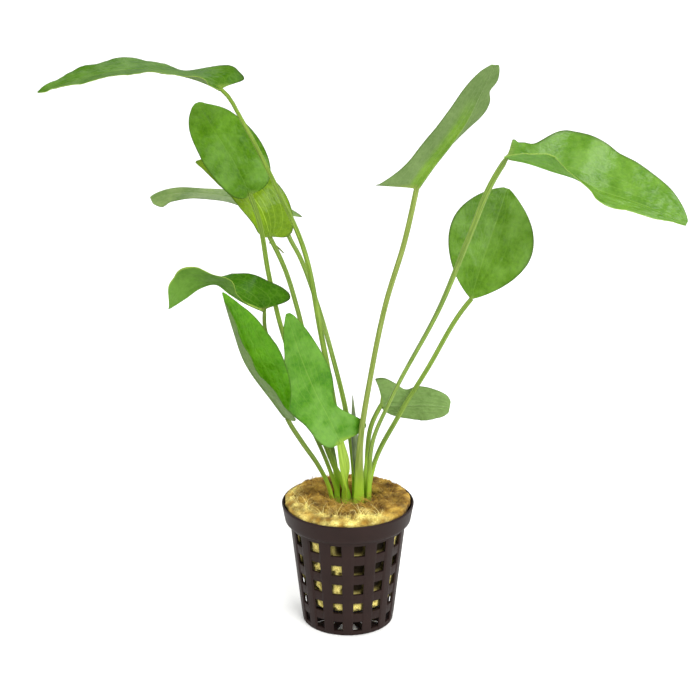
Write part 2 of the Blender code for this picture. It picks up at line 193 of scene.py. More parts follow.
# Name, place, size, power and what it is aimed at
LAMPS = (
    ("front lamp", (0.5, -1.0, 0.85), 0.7, 17, MID_PLANT),
    ("right lamp", (0.9, 0.45, 1.3), 0.6, 8, MID_PLANT),
    ("left lamp", (-1.2, -0.2, 1.2), 1.0, 10, MID_PLANT),
    ("floor lamp", (0.0, 1.9, 1.3), 1.2, 14, FAR_FLOOR),
)
bpy.context.scene.view_settings.view_transform = "Standard"
world = bpy.data.worlds.new("white tent")
world.use_nodes = True
plug(world.node_tree.nodes["Background"], {"Color": "FFFFFF", "Strength": 0.7})
bpy.context.scene.world = world
for name, place, size, power, aim in LAMPS:
    lamp_data = bpy.data.lights.new(name, "AREA")
    lamp_data.size = size
    lamp_data.energy = power
    lamp = new_object(name, lamp_data)
    lamp.location = place
    lamp.rotation_euler = (aim - lamp.location).to_track_quat("-Z", "Y").to_euler()

board = new_finish("matt_painted_board", Base_Color="F6F6F4", Roughness=0.9)[0]
corners = [(x * FLOOR_HALF, y * FLOOR_HALF, 0) for x, y in ((-1, -1), (1, -1), (1, 1), (-1, 1))]
floor_mesh = bpy.data.meshes.new("floor")
floor_mesh.from_pydata(corners, [], [(0, 1, 2, 3)])
floor_mesh.materials.append(board)
floor = new_object("floor", floor_mesh)

# %% [markdown]
# ## The plastic of the net pot
# A net pot is injection moulded from polypropylene that is coloured brown-black. The mould's
# surface is spark eroded, so the plastic has a satin sheen with a very fine grain, and it shines
# more where it has been handled. The grain is 0.4 mm here, coarser than the real one, so that it
# shows at all.

# %% Polypropylene, moulded
GRAIN = 0.4 * MM
MARBLING = 9 * MM


def pot_plastic():
    """Satin black-brown polypropylene: a faint marbling, uneven gloss and a fine grain."""
    material, add, shader = new_finish("polypropylene_moulded", IOR=1.49, Specular_IOR_Level=0.12)
    place = add("TexCoord").outputs["Object"]
    cloud = add("TexNoise", {"Vector": place, "Scale": 1 / MARBLING, "Detail": 3.0})
    grain = add("TexNoise", {"Vector": place, "Scale": 1 / GRAIN, "Detail": 1.0})
    plug(shader, {
        "Base Color": add("Mix", [cloud, "1E1311", "2C1E1B"], data_type="RGBA"),
        "Roughness": add("MapRange", {"Value": cloud, "To Min": 0.4, "To Max": 0.6}),
        "Normal": add("Bump", {"Height": grain, "Strength": 0.25, "Distance": 0.1 * MM})})
    return material


# %% [markdown]
# ## The net pot
# The pot follows a rule. Its wall has one section, from the middle of the floor up to the rim, and
# round the axis the same bay comes back 15 times: a column of windows, then a rib that stands
# proud of the bars between the windows. So Geometry Nodes draw one bay by turning the section, cut
# its windows, and set 15 copies round the axis. Solidify then gives the wall its thickness, and a
# small bevel rounds the edges as the mould does.

# %% The section of the pot's wall
COLUMNS = 15
# A bay is this many steps wide, and its window the first few of them
BAY_STEPS, WINDOW_STEPS = 17, 8
WALL = 1.0
BAR_DEPTH = 0.4
BASE_RADIUS, BODY_RADIUS, BODY_TOP = 19.2, 24.2, 43.8
WINDOW_ROWS = (12.9, 22.0, 31.1, 40.2)
WINDOW_HEIGHT = 5.0
# Radius, height, and whether the strip above is cut by slots
FLOOR_SECTION = [(0, 0, 0), (7, 0, 0), (8.5, 0, 1), (15.5, 0, 0), (18.5, 0, 0), (19.0, 0.3, 0),
                 (19.25, 1.0, 0)]
NOTCH = (2.0, 6.5)
BAND_SECTION = [(24.1, 43.5), (24.35, 44.1), (25.5, 44.8), (26.2, 45.5), (26.4, 46.4), (27.4, 52.0),
                (27.5, 52.5), (27.3, 52.9), (27.0, 53.0)]


def body_radius(height):
    return BASE_RADIUS + (BODY_RADIUS - BASE_RADIUS) * height / BODY_TOP


def pot_section():
    """(radius, height, is the strip above cut by windows, is it ribbed) from the floor to the rim."""
    section = [(radius, height, cut, height >= 1) for radius, height, cut in FLOOR_SECTION]
    edges = list(NOTCH)
    for middle in WINDOW_ROWS:
        edges += [middle - WINDOW_HEIGHT / 2, middle + WINDOW_HEIGHT / 2]
    for i, height in enumerate(edges):
        section.append((body_radius(height), height, i % 2 == 0, True))
    section += [(radius, height, False, False) for radius, height in BAND_SECTION]
    return section


# %% One bay of the pot and its fifteen copies
def geometry_tree(name, sizes):
    """A tree with a mesh going in and out, the function that adds to it, and its named inputs."""
    tree = bpy.data.node_groups.new(name, "GeometryNodeTree")
    for label, kind in {"Geometry": "Geometry", **sizes}.items():
        tree.interface.new_socket(label, in_out="INPUT", socket_type="NodeSocket" + kind)
    tree.interface.new_socket("Geometry", in_out="OUTPUT", socket_type="NodeSocketGeometry")
    add = adder(tree)
    return tree, add, add("NodeGroupInput").outputs


def close_tree(tree, geometry, finish):
    """Ends a tree: instances become real meshes, and take their material."""
    add = adder(tree)
    real = add("RealizeInstances", {"Geometry": geometry})
    made = add("SetMaterial", {"Geometry": real, "Material": finish})
    add("NodeGroupOutput", {"Geometry": made})
    return tree


def grow(name, host, tree, values):
    """Runs a tree on a host object, and keeps what it makes as a plain mesh object."""
    modifier = host.modifiers.new("grow", "NODES")
    modifier.node_group = tree
    for item in tree.interface.items_tree:
        if item.in_out == "INPUT" and item.name in values:
            modifier[item.identifier] = values[item.name]
    bpy.context.view_layer.update()
    graph = bpy.context.evaluated_depsgraph_get()
    mesh = bpy.data.meshes.new_from_object(host.evaluated_get(graph))
    host.modifiers.clear()
    bpy.data.objects.remove(host)
    mesh.name = name
    return new_object(name, mesh)


def pot_bay_tree():
    """Turns the section through one bay, opens its windows and sets copies of it round the axis."""
    tree, add, size = geometry_tree("net pot", {
        "Columns": "Int", "Bay Steps": "Int", "Window Steps": "Int", "Bar Depth": "Float",
        "Finish": "Material"})
    section, index = size["Geometry"], add("InputIndex")
    ribbed, cut = (add("InputNamedAttribute", {"Name": label}, data_type="FLOAT")
                   for label in ("ribbed", "cut"))
    # The section's points are sampled along the rows of a grid, one column for each step of the bay
    rows = add("AttributeDomainSize", {"Geometry": section}).outputs["Point Count"]
    grid = add("MeshGrid", {"Vertices X": add("IntegerMath", [size["Bay Steps"], 1]), "Vertices Y": rows})
    column = add("IntegerMath", [index, rows], operation="DIVIDE_FLOOR")
    row = add("IntegerMath", [index, rows], operation="MODULO")
    spot = add("SampleIndex", {"Geometry": section, "Value": add("InputPosition"), "Index": row},
               data_type="FLOAT_VECTOR")
    # Between the ribs the wall stands back by the bar depth
    past = add("Compare", [column, size["Window Steps"]], data_type="INT", operation="GREATER_THAN")
    before = add("Compare", [column, size["Bay Steps"]], data_type="INT", operation="LESS_THAN")
    sunk = add("Math", [1.0, add("BooleanMath", [past, before])], operation="SUBTRACT")
    share = add("Math", [sunk, add("SampleIndex", {"Geometry": section, "Value": ribbed, "Index": row})],
                operation="MULTIPLY")
    inward = add("Math", [share, size["Bar Depth"]], operation="MULTIPLY")
    moved = add("VectorMath", [spot, add("CombineXYZ", {"Y": inward})])
    # Each column is turned by its share of the bay
    bay = add("Math", [2 * math.pi, size["Columns"]], operation="DIVIDE")
    step = add("Math", [bay, size["Bay Steps"]], operation="DIVIDE")
    turn = add("Math", [column, step], operation="MULTIPLY")
    turned = add("VectorRotate", {"Vector": moved, "Angle": turn}, rotation_type="Z_AXIS")
    sheet = add("SetPosition", {"Geometry": grid, "Position": turned})
    # The faces of the windows go
    strips = add("IntegerMath", [rows, 1], operation="SUBTRACT")
    face_column = add("IntegerMath", [index, strips], operation="DIVIDE_FLOOR")
    face_row = add("IntegerMath", [index, strips], operation="MODULO")
    in_window = add("Compare", [face_column, size["Window Steps"]], data_type="INT", operation="LESS_THAN")
    opened = add("SampleIndex", {"Geometry": section, "Value": cut, "Index": face_row})
    cut_sheet = add("DeleteGeometry", {
        "Geometry": sheet, "Selection": add("BooleanMath", [in_window, opened])}, domain="FACE")
    angle = add("Math", [index, bay], operation="MULTIPLY")
    ring = add("InstanceOnPoints", {
        "Points": add("Points", {"Count": size["Columns"]}), "Instance": cut_sheet,
        "Rotation": add("EulerToRotation", [add("CombineXYZ", {"Z": angle})])})
    return close_tree(tree, ring, size["Finish"])


# %% Turn the section into the pot
EDGE_ROUNDING = 0.15


def weld(thing, distance):
    """Merges the doubles of an open sheet round the axis and turns its faces outwards."""
    sheet = bmesh.new()
    sheet.from_mesh(thing.data)
    bmesh.ops.remove_doubles(sheet, verts=sheet.verts, dist=distance)
    bmesh.ops.recalc_face_normals(sheet, faces=sheet.faces)
    outward = sum(face.normal.dot(Vector((*face.calc_center_median().xy, 0))) for face in sheet.faces)
    if outward < 0:
        bmesh.ops.reverse_faces(sheet, faces=sheet.faces)
    sheet.to_mesh(thing.data)
    sheet.free()


def make_pot():
    section = pot_section()
    host_mesh = bpy.data.meshes.new("wall_section")
    host_mesh.from_pydata([(0, -radius * MM, height * MM) for radius, height, _, _ in section], [], [])
    for label, column in (("cut", 2), ("ribbed", 3)):
        row = [float(station[column]) for station in section]
        host_mesh.attributes.new(label, "FLOAT", "POINT").data.foreach_set("value", row)
    pot = grow("pot_basket", new_object("wall_section", host_mesh), pot_bay_tree(), {
        "Columns": COLUMNS, "Bay Steps": BAY_STEPS, "Window Steps": WINDOW_STEPS,
        "Bar Depth": BAR_DEPTH * MM, "Finish": pot_plastic()})
    weld(pot, 0.01 * MM)
    # The bay begins at a window's edge, so the pot is turned until a rib is in front
    first_window = math.pi / COLUMNS * (1 - WINDOW_STEPS / BAY_STEPS)
    from_axis = np.array([vertex.co for vertex in pot.data.vertices])
    c, s = math.cos(first_window), math.sin(first_window)
    turned = from_axis @ np.array([[c, s, 0], [-s, c, 0], [0, 0, 1]])
    pot.data.vertices.foreach_set("co", turned.ravel())
    pot.data.shade_smooth()
    wall = pot.modifiers.new("wall", "SOLIDIFY")
    wall.thickness = WALL * MM
    wall.offset = -1
    wall.use_even_offset = True
    edges = pot.modifiers.new("edges", "BEVEL")
    edges.width = EDGE_ROUNDING * MM
    edges.segments = 2
    edges.limit_method = "ANGLE"
    edges.angle_limit = math.radians(40)
    settle(pot, "pot_plastic", "net_pot")


make_pot()

# %% [markdown]
# ## Mineral wool
# Mineral wool is spun from molten rock: glassy fibres a hundredth of a millimetre thick, pressed
# into felt. Water, light and the plant's roots have stained this plug. Its top is golden brown,
# its torn edges show pale straw-coloured fibres, and roots and algae darken it behind some windows.
# The finish is wholly matt. Two painted values steer it: pale, and dark. Dark holds the felt's own
# stains behind some windows, and painted shade in the hollows, crevices and pocket and behind the
# pot's ribs.

# %% Wool, spun and stained
def wool_felt(name, fibre):
    """Matt felt: straw to golden brown, with dark stains and painted shade. A fibre also has a tint of its
    own.
    """
    material, add, shader = new_finish(name, Roughness=0.95, IOR=1.45, Specular_IOR_Level=0.08,
                                       Sheen_Weight=0.05, Sheen_Roughness=0.6)
    place = add("TexCoord").outputs["Object"]
    pale, stain_and_shade = (add("Attribute", attribute_name=label).outputs["Fac"] for label in ("pale", "stain_and_shade"))
    patches = add("TexNoise", {"Vector": place, "Scale": 1 / (5 * MM), "Detail": 4.0})
    threads = add("TexNoise", {"Vector": place, "Scale": 1 / (0.7 * MM), "Detail": 3.0, "Distortion": 1.5})
    own = add("Attribute", attribute_name="tint").outputs["Fac"] if fibre else threads
    brown = set_ramp(add("ValToRGB", {"Fac": patches}), [
        (0.34, "5A3A0C"), (0.48, "98742A"), (0.66, "CCA648")])
    straw = set_ramp(add("ValToRGB", {"Fac": own}), [(0.15, "9A8438"), (0.5, "E2D070"), (0.85, "FFF6AC")])
    body = add("Mix", [pale, brown, straw], data_type="RGBA")
    light = add("MapRange", {"Value": own, "To Min": 0.45, "To Max": 1.5})
    toned = add("Mix", [1.0, body, light], data_type="RGBA", blend_type="MULTIPLY")
    # Dark brown for the real stains, and for painted shade in hollows, crevices, the pocket and behind the
    # ribs
    plug(shader, {"Base Color": add("Mix", [stain_and_shade, toned, "241B0C"], data_type="RGBA")})
    if not fibre:
        plug(shader, {"Normal": add("Bump", {"Height": threads, "Strength": 0.8, "Distance": 0.4 * MM})})
    return material


# %% [markdown]
# ## The wool plug
# The plug fills the taper of the pot and bulges out of its top, with a pocket in the middle for
# the crown. It is a skin over rings: up the side, over the rim, across the top and down into the
# pocket. Noise then tears its surface, and hollows are pressed where roots have opened it.

# %% Rings of the plug
WOOL_COLUMNS = 220
WOOL_RINGS = 150
WOOL_GAP = 0.7
POCKET_CENTRE = (1.5, 6.0)
# Below this height the pot's wall hides the felt but for its windows
WALL_TOP = 47
LIP = 53.2
# Where the top begins in height, and its torn edge in radius, each with the width of its fade
TOP_START, TOP_FADE = 50.5, 2.5
TORN_START, TORN_FADE = 17.5, 4
NAP_EDGE = 26
POCKET_REACH = 12.2
# Share of the way from the pot's axis to the pocket's, radius and height
WOOL_PROFILE = [
    (0, 0.5, 9.4), (0, 10, 9.0), (0, 16.5, 9.6),
    *[(0, body_radius(place) - WALL - WOOL_GAP, height)
      for place, height in ((11, 11.2), (20, 20), (32, 32), (42, 42))],
    (0, 23.0, 44.6), (0, 24.3, 47.0), (0, 25.4, 50.0), (0, 25.9, 52.0), (0, 26.0, LIP),
    (0.03, 25.4, 54.1), (0.15, 23.6, 54.6), (0.5, 19.0, 54.7), (0.8, 15.5, 54.5), (1, 13.0, 54.3),
    (1, 11.6, 53.6), (1, 10.9, 52.0), (1, 10.6, 48), (1, 10.5, 43), (1, 10.3, 36.5), (1, 8, 35.4),
    (1, 0.5, 35.3)]
# Widest radius in the rim, and above it
RIM_ROOM, OPEN_ROOM = 26.35, 27.0
# Windows where the felt is dark: degrees from the front, height, half width in degrees, strength
STAINS = [
    (13, 40, 10, 1.1), (13, 31, 10, 1.6), (13, 22.5, 10, 1.3), (41, 40, 11, 1.5), (41, 31, 11, 1.6),
    (41, 22.5, 11, 1.4), (-10, 40, 7, 1.1), (-66, 40, 11, 1.3), (-66, 31, 11, 1.5), (-66, 22, 11, 1.6),
    (-66, 13, 11, 1.6), (66, 29.5, 8, 1.2), (84, 22, 9, 0.8), (108, 36, 9, 0.7), (156, 14, 10, 0.8),
    (180, 31, 9, 0.7), (-132, 26, 10, 0.9), (-156, 40, 9, 0.6), (-96, 18, 9, 0.8)]
STAIN_HEIGHT, STAIN_DEPTH = 4.2, 2.6
# Hollows in the top: x, y, radius, depth
HOLLOWS = [(12.0, 2.0, 2.6, 2.6), (-8.5, 1.5, 1.6, 1.6), (-6, 20.5, 2.2, 1.5), (17, 12, 3, 1.2),
           (-16, 6, 3.5, 1.2), (6, -10, 3, 0.9), (20, -3, 2.5, 1.4)]
# Tufts of torn felt that stand up: x, y, radius, height
TUFTS = [(-17.0, -13.5, 1.3, 3.2), (-12, -18.5, 1.5, 0.9), (-5, -20.5, 1.7, 1.1), (0, -21.5, 1.5, 0.7),
         (4.5, -20.8, 1.9, 1.3), (9, -20, 1.6, 0.9), (12.5, -18.5, 1.4, 1.2), (-21.5, -8.5, 1.6, 0.9),
         (-22.8, -2.5, 1.7, 1.2), (-22.8, 3, 1.6, 1.3), (-21.8, 8.5, 1.8, 0.8)]


def turbulence(points, size, seed):
    """Noise between about -1 and 1 for each point, with lumps of the given size."""
    shift = Vector((seed * 7.3, seed * 3.1, seed * 5.7))
    return np.array([noise.noise(Vector(point) / size + shift) for point in points])


def ease(x):
    """From 0 to 1 and level at both ends."""
    x = np.clip(x, 0, 1)
    return x * x * (3 - 2 * x)


def polar(points):
    """Degrees from the front and millimetres from the axis."""
    return np.degrees(np.arctan2(points[:, 0], -points[:, 1])), np.hypot(points[:, 0], points[:, 1])


def wool_shape():
    """Rings of the plug and their outward normals."""
    keys = np.array(WOOL_PROFILE, float)
    run = np.concatenate([[0], np.cumsum(np.hypot(np.diff(keys[:, 1]), np.diff(keys[:, 2])))])
    even = np.linspace(0, run[-1], WOOL_RINGS)
    share, radius, height = (np.interp(even, run, keys[:, k]) for k in range(3))
    turn = turns(WOOL_COLUMNS)
    centres = np.stack([POCKET_CENTRE[0] * share, POCKET_CENTRE[1] * share, height], axis=1)
    out = np.stack([-np.gradient(height), np.gradient(radius)], axis=1)
    out /= np.linalg.norm(out, axis=1)[:, None]
    upward = np.stack([0 * share, 0 * share, -out[:, 1]], axis=1)
    return level_rings(centres, radius[:, None], turn), level_rings(upward, -out[:, :1], turn)


# %% Stains, painted shade, and the torn plug
def window_stain(points):
    """How stained the side of the plug is, from 0 to 1."""
    angle, from_axis = polar(points)
    height = points[:, 2]
    total = np.clip(2 * turbulence(points, 2.4, 6) - 0.35, 0, 0.85)
    for place, middle, spread, strength in STAINS:
        off = (angle - place + 180) % 360 - 180
        spot = np.exp(-((off / spread) ** 4) - ((height - middle) / STAIN_HEIGHT) ** 4)
        total = np.maximum(total, strength * spot)
    on_side = np.clip((WALL_TOP - height) / 3, 0, 1) * np.clip((from_axis - 12) / 3, 0, 1)
    return np.clip(total, 0, 1) * on_side


def rib_painted_shade(points):
    """Painted shade on the felt behind the pot's ribs and bars and up to each window's upper edge, from 0 to
    1.
    """
    height = points[:, 2]
    in_bay = (polar(points)[0] * COLUMNS / 360) % 1
    dark = ease((np.abs(in_bay - 0.5) - 0.2) / 0.07)
    for middle in WINDOW_ROWS:
        dark = np.maximum(dark, ease((height - middle - 0.9) / 0.8) * (height < middle + 5))
    return 0.85 * dark * (height < WALL_TOP)


def near(points, x, y, radius):
    """1 at a spot of the plug's top, fading out past the radius."""
    return np.exp(-((np.hypot(points[:, 0] - x, points[:, 1] - y) / radius) ** 2))


def make_wool():
    rings, normal = wool_shape()
    flat = rings.reshape(-1, 3)
    on_top = ease((flat[:, 2] - TOP_START) / TOP_FADE)
    rough = 0.5 * turbulence(flat, 2.2, 2) + 0.4 * turbulence(flat, 0.9, 3)
    lumps = 0.7 * turbulence(flat, 6, 1) + rough
    stain_and_shade = window_stain(flat)
    push = lumps * (0.35 + 0.85 * on_top) - 0.35 * (1 - on_top) - STAIN_DEPTH * stain_and_shade
    for x, y, radius, depth in HOLLOWS:
        push = push - depth * near(flat, x, y, radius) * on_top
    tuft = np.zeros(len(flat))
    for x, y, radius, height in TUFTS:
        raised = near(flat, x, y, radius) * on_top
        push = push + height * raised
        tuft = np.maximum(tuft, raised)
    flat = flat + normal.reshape(-1, 3) * push[:, None]
    room = np.where(flat[:, 2] < LIP, RIM_ROOM, OPEN_ROOM)
    flat[:, :2] *= np.minimum(1, room / polar(flat)[1])[:, None]
    points, faces = skin(flat.reshape(rings.shape))

    angle, from_axis = polar(flat)
    edge = np.clip((from_axis - TORN_START) / TORN_FADE, 0, 1)
    front = np.exp(-(((angle + 8) / 48) ** 4)) + 0.5 * np.exp(-(((angle + 88) / 30) ** 4))
    torn = np.clip(0.45 + 1.6 * turbulence(flat, 4, 4), 0, 1)
    pale = np.clip(edge * front * torn * on_top + tuft + 0.1 * (turbulence(flat, 3, 5) > 0.25), 0, 1)
    pale = np.where(flat[:, 2] < WALL_TOP, 0.95, pale)
    # Painted shade: the crevices between the lumps of the top are darkened
    crevice = np.clip(-1.5 * rough - 0.12, 0, 0.75) * on_top
    # Painted shade in the hollows, darker the deeper they are
    hollow = np.max([min(0.9, 0.4 * depth) * near(flat, x, y, radius) * on_top
                     for x, y, radius, depth in HOLLOWS], axis=0)
    to_pocket = np.hypot(flat[:, 0] - POCKET_CENTRE[0], flat[:, 1] - POCKET_CENTRE[1])
    # How far down inside the pocket a point is: it keeps fibres out and gives the pocket painted shade
    inside = np.clip((52.5 - flat[:, 2]) / 6, 0, 1) * (to_pocket < POCKET_REACH)
    nap = on_top * (1 - inside) * np.clip((NAP_EDGE - from_axis) / 1.5, 0, 1)
    # Stains behind the windows join painted shade in hollows, crevices, the pocket and behind the ribs
    rows = {"pale": pale, "stain_and_shade": np.max([stain_and_shade, hollow, crevice, 0.75 * inside, rib_painted_shade(flat)], axis=0),
            "nap": nap * (1 + 1.5 * tuft), "stand": np.maximum(tuft, 0.3 * pale),
            "reach": np.clip((NAP_EDGE - from_axis) / 5, 0.25, 1)}
    values = {label: np.append(row, [0.0, 0.0]) for label, row in rows.items()}
    return mesh_object("wool_plug", points, faces, wool_felt("mineral_wool_felt", False), values)


wool = make_wool()
settle(wool, "mineral_wool", "rockwool_plug")

# %% [markdown]
# ## The wool's fibres
# What makes wool look like wool is its loose fibres, so Geometry Nodes scatter nearly two thousand
# of them over the plug. Each is one thin bent tube, drawn twenty times as thick as a real fibre so
# that it shows, and as a tuft of many would look. The uneven felt under each one turns it, all lean
# out of the felt by nearly 30 degrees, and they stand up more where it is pale and torn.

# %% Scatter the fibres
# Radians that a fibre leans out of the felt. It stands up by as much again where the felt is torn
LEAN = 0.5


def fibre_tree():
    """Scatters bent fibres over a mesh by nap, stand and reach, keeping its pale, stains and painted shade.
    """
    tree, add, size = geometry_tree("wool fibres", {
        "Per Square Metre": "Float", "Length": "Float", "Radius": "Float", "Bend": "Float", "Lean": "Float",
        "Seed": "Int", "Finish": "Material"})
    nap, stand, reach = (add("InputNamedAttribute", {"Name": label}, data_type="FLOAT")
                         for label in ("nap", "stand", "reach"))
    spots = add("DistributePointsOnFaces", {
        "Mesh": size["Geometry"], "Seed": size["Seed"],
        "Density": add("Math", [nap, size["Per Square Metre"]], operation="MULTIPLY")})
    middle = add("CombineXYZ", {
        "X": add("Math", [size["Length"], 0.5], operation="MULTIPLY"), "Y": size["Bend"], "Z": size["Bend"]})
    end = add("CombineXYZ", {"X": size["Length"]})
    line = add("CurveQuadraticBezier", {"Resolution": 4, "Start": (0, 0, 0), "Middle": middle, "End": end})
    profile = add("CurvePrimitiveCircle", {"Resolution": 3, "Radius": size["Radius"]})
    along = add("SplineParameter").outputs["Factor"]
    taper = add("MapRange", {"Value": along, "To Min": 1.0, "To Max": 0.25})
    fibre = add("CurveToMesh", {"Curve": line, "Profile Curve": profile, "Scale": taper, "Fill Caps": True})
    raised = add("Math", [size["Lean"], stand, size["Lean"]], operation="MULTIPLY_ADD")
    tilt = add("CombineXYZ", {"Y": add("Math", [raised, -1.0], operation="MULTIPLY")})
    leaning = add("RotateRotation", [spots.outputs["Rotation"], add("EulerToRotation", [tilt])],
                  rotation_space="LOCAL")
    spread = add("RandomValue", {"Min": 0.4, "Max": 1.2, "Seed": 14})
    placed = add("InstanceOnPoints", {
        "Points": spots, "Instance": fibre, "Rotation": leaning,
        "Scale": add("Math", [spread, reach], operation="MULTIPLY")})
    tinted = add("StoreNamedAttribute", {
        "Geometry": placed, "Name": "tint", "Value": add("RandomValue", {"Seed": 15})},
        data_type="FLOAT", domain="INSTANCE")
    return close_tree(tree, tinted, size["Finish"])


def make_fibres():
    host = new_object("fibre_host", wool.data.copy())
    fibres = grow("wool_fibres", host, fibre_tree(), {
        "Per Square Metre": 9e5, "Length": 5.2 * MM, "Radius": 0.09 * MM, "Bend": 0.9 * MM, "Lean": LEAN,
        "Seed": 3, "Finish": wool_felt("mineral_wool_fibre", True)})
    settle(fibres, "mineral_wool", "rockwool_plug")


make_fibres()

# %% [markdown]
# ## The crown
# The crown is the plant's short stock: a brown-green knob ringed with the scars of old leaves.
# Most of it hides in the wool's pocket, under the sheaths of the leaves. Its rings swell and
# shrink along the height, which draws the scars.

# %% Crown tissue and shape
CROWN_TOP, CROWN_RISE, CROWN_RADIUS = 42.0, 6.0, 9.8
CROWN_RINGS, CROWN_COLUMNS = 24, 48
SCAR_DEPTH, SCAR_RATE = 0.25, 26


def crown_tissue():
    """Matt corky tissue, from straw-brown to olive, in rings."""
    material, add, shader = new_finish("crown_cortex_corky", Roughness=0.8, IOR=1.4)
    place = add("TexCoord").outputs["Object"]
    rough = add("TexNoise", {"Vector": place, "Scale": 1 / (2 * MM), "Detail": 5.0})
    tint = set_ramp(add("ValToRGB", {"Fac": rough}), [(0.3, "4E4420"), (0.55, "7D7236"), (0.75, "A39A58")])
    bump = add("Bump", {"Height": rough, "Strength": 0.7, "Distance": 0.4 * MM})
    plug(shader, {"Base Color": tint, "Normal": bump})
    return material


def make_crown():
    turn = turns(CROWN_COLUMNS)
    drop = np.linspace(1, 0, CROWN_RINGS)
    scars = SCAR_DEPTH * np.sin(SCAR_RATE * drop)
    radius = CROWN_RADIUS * (1 - 0.42 * drop**4 - 0.1 * (1 - drop) ** 8) + scars - 0.35
    wave = 0.3 * np.sin(5 * turn + 9 * drop[:, None])
    centres = np.array([(*POCKET_CENTRE, CROWN_TOP - CROWN_RISE * down) for down in drop])
    points, faces = skin(level_rings(centres, radius[:, None] + wave, turn))
    settle(mesh_object("crown_stock", points, faces, crown_tissue()), "crown_tissue", "crown")


make_crown()

# %% [markdown]
# ## How a leaf is shaped
# A sword leaf is one piece: a long stalk, broad where it sheathes the crown, that runs on as the
# midrib under a thin blade. So a leaf is one skin over rings. A stalk ring is a small oval. A
# blade ring goes over the upper face from the left margin to the right one and back under it, and
# bulges in the middle where the midrib is. A few design values say what differs from leaf to leaf:
# the path of the stalk and of the midrib, the way the upper face looks, and for each half of the
# blade its width, its fold and how far its basal lobe reaches back.

# %% Curves through a few points
def unit(vectors):
    return vectors / np.maximum(np.linalg.norm(vectors, axis=-1, keepdims=True), 1e-9)


def bridge(x, start, end, leaving, arriving):
    """Goes from start to end while x goes from 0 to 1, with the given slopes at both."""
    return ((2 * x**3 - 3 * x**2 + 1) * start + (x**3 - 2 * x**2 + x) * leaving
            + (3 * x**2 - 2 * x**3) * end + (x**3 - x**2) * arriving)


def smooth_path(points, count):
    """Even points and unit tangents along one smooth curve through the given points, and its length."""
    p = np.array(points, float)
    gap = np.linalg.norm(np.diff(p, axis=0), axis=1)
    knots = np.concatenate([[0.0], np.cumsum(gap)])
    secant = np.diff(p, axis=0) / gap[:, None]
    slope = np.empty_like(p)
    weighted = secant[:-1] * gap[1:, None] + secant[1:] * gap[:-1, None]
    slope[1:-1] = weighted / (gap[1:] + gap[:-1])[:, None]
    slope[0] = 1.5 * secant[0] - 0.5 * slope[1]
    slope[-1] = 1.5 * secant[-1] - 0.5 * slope[-2]
    s = np.linspace(0, knots[-1], 40 * (len(p) - 1) + 1)
    i = np.clip(np.searchsorted(knots, s, side="right") - 1, 0, len(p) - 2)
    x, span = ((s - knots[i]) / gap[i])[:, None], gap[i][:, None]
    dense = bridge(x, p[i], p[i + 1], span * slope[i], span * slope[i + 1])
    run = np.concatenate([[0.0], np.cumsum(np.linalg.norm(np.diff(dense, axis=0), axis=1))])
    even = np.linspace(0, run[-1], count)
    out = np.stack([np.interp(even, run, dense[:, axis]) for axis in range(3)], axis=1)
    return out, unit(np.gradient(out, axis=0)), run[-1]


def through(keys, s):
    """The value at s of a smooth curve through values evenly spaced from 0 to 1."""
    k = np.array(keys, float)
    spans = len(k) - 1
    slope = np.gradient(k, axis=0)
    i = np.clip((np.asarray(s) * spans).astype(int), 0, spans - 1)
    x = s * spans - i
    if k.ndim > 1:
        i = i[:, 0]
    return bridge(x, k[i], k[i + 1], slope[i], slope[i + 1])


# %% The blade's middle surface
LOBE_PEAK = 9.48
FLARE_PLACE = 0.1
CREASE = 0.8
MIDRIB_STEPS = 120


def blade_frame(leaf, count):
    """Points, tangents and upper-face normals along the midrib, and its length."""
    rib, tangent, length = smooth_path([leaf["stalk"][-1], *leaf["rib"]], count)
    looks = unit(np.array(leaf["face"], float))
    normal = through(looks, np.linspace(0, 1, count)[:, None])
    normal = unit(normal - (normal * tangent).sum(1)[:, None] * tangent)
    return rib, tangent, normal, length


def blade_grid(leaf, us, vs):
    """Points, rough normals, and millimetres along and across, for each u along and v across."""
    rib, tangent, normal, length = blade_frame(leaf, MIDRIB_STEPS + 1)
    side = np.cross(tangent, normal)
    u, v = np.meshgrid(us, vs, indexing="ij")

    def by_side(pair):
        return np.where(v < 0, pair[0], pair[1])

    hump = LOBE_PEAK * u * (1 - u) ** 3
    along = length * (u - by_side(leaf["lobe"]) * hump * v**2)
    swell = np.sin(np.pi * u ** by_side(leaf["reach"])) ** by_side(leaf["blunt"])
    for place, width, left, right in leaf["dents"]:
        swell = swell * (1 + by_side((left, right)) * np.exp(-(((u - place) / width) ** 2)))
    flare = by_side(leaf["flare"]) * u / FLARE_PLACE * np.exp(1 - u / FLARE_PLACE) * v**2
    across = by_side(leaf["half"]) * swell * np.abs(v) + flare
    s = np.clip(along / length, 0, 1)
    fold = np.radians(by_side([through(keys, s) for keys in leaf["fold"]]))
    at = s * MIDRIB_STEPS
    low = np.clip(at.astype(int), 0, MIDRIB_STEPS - 1)
    part = (at - low)[..., None]

    def pick(values):
        return values[low] * (1 - part) + values[low + 1] * part

    centre = pick(rib) + np.minimum(along, 0)[..., None] * tangent[0]
    out = (np.sign(v) * across * np.cos(fold))[..., None]
    up = ((np.hypot(across, CREASE) - CREASE) * np.sin(fold))[..., None]
    return centre + pick(side) * out + pick(normal) * up, pick(normal), along, across


# %% [markdown]
# ## Veins, puckers and margins
# Five to seven veins leave the base of a sword leaf together, arch out beside the midrib and meet
# again at its tip. Between them the blade is puckered by a net of finer veins, and its margin
# waves a little. The veins sink into the upper face and stand out of the lower one. All of that
# is real relief in the mesh, while the finest net is left to the material.

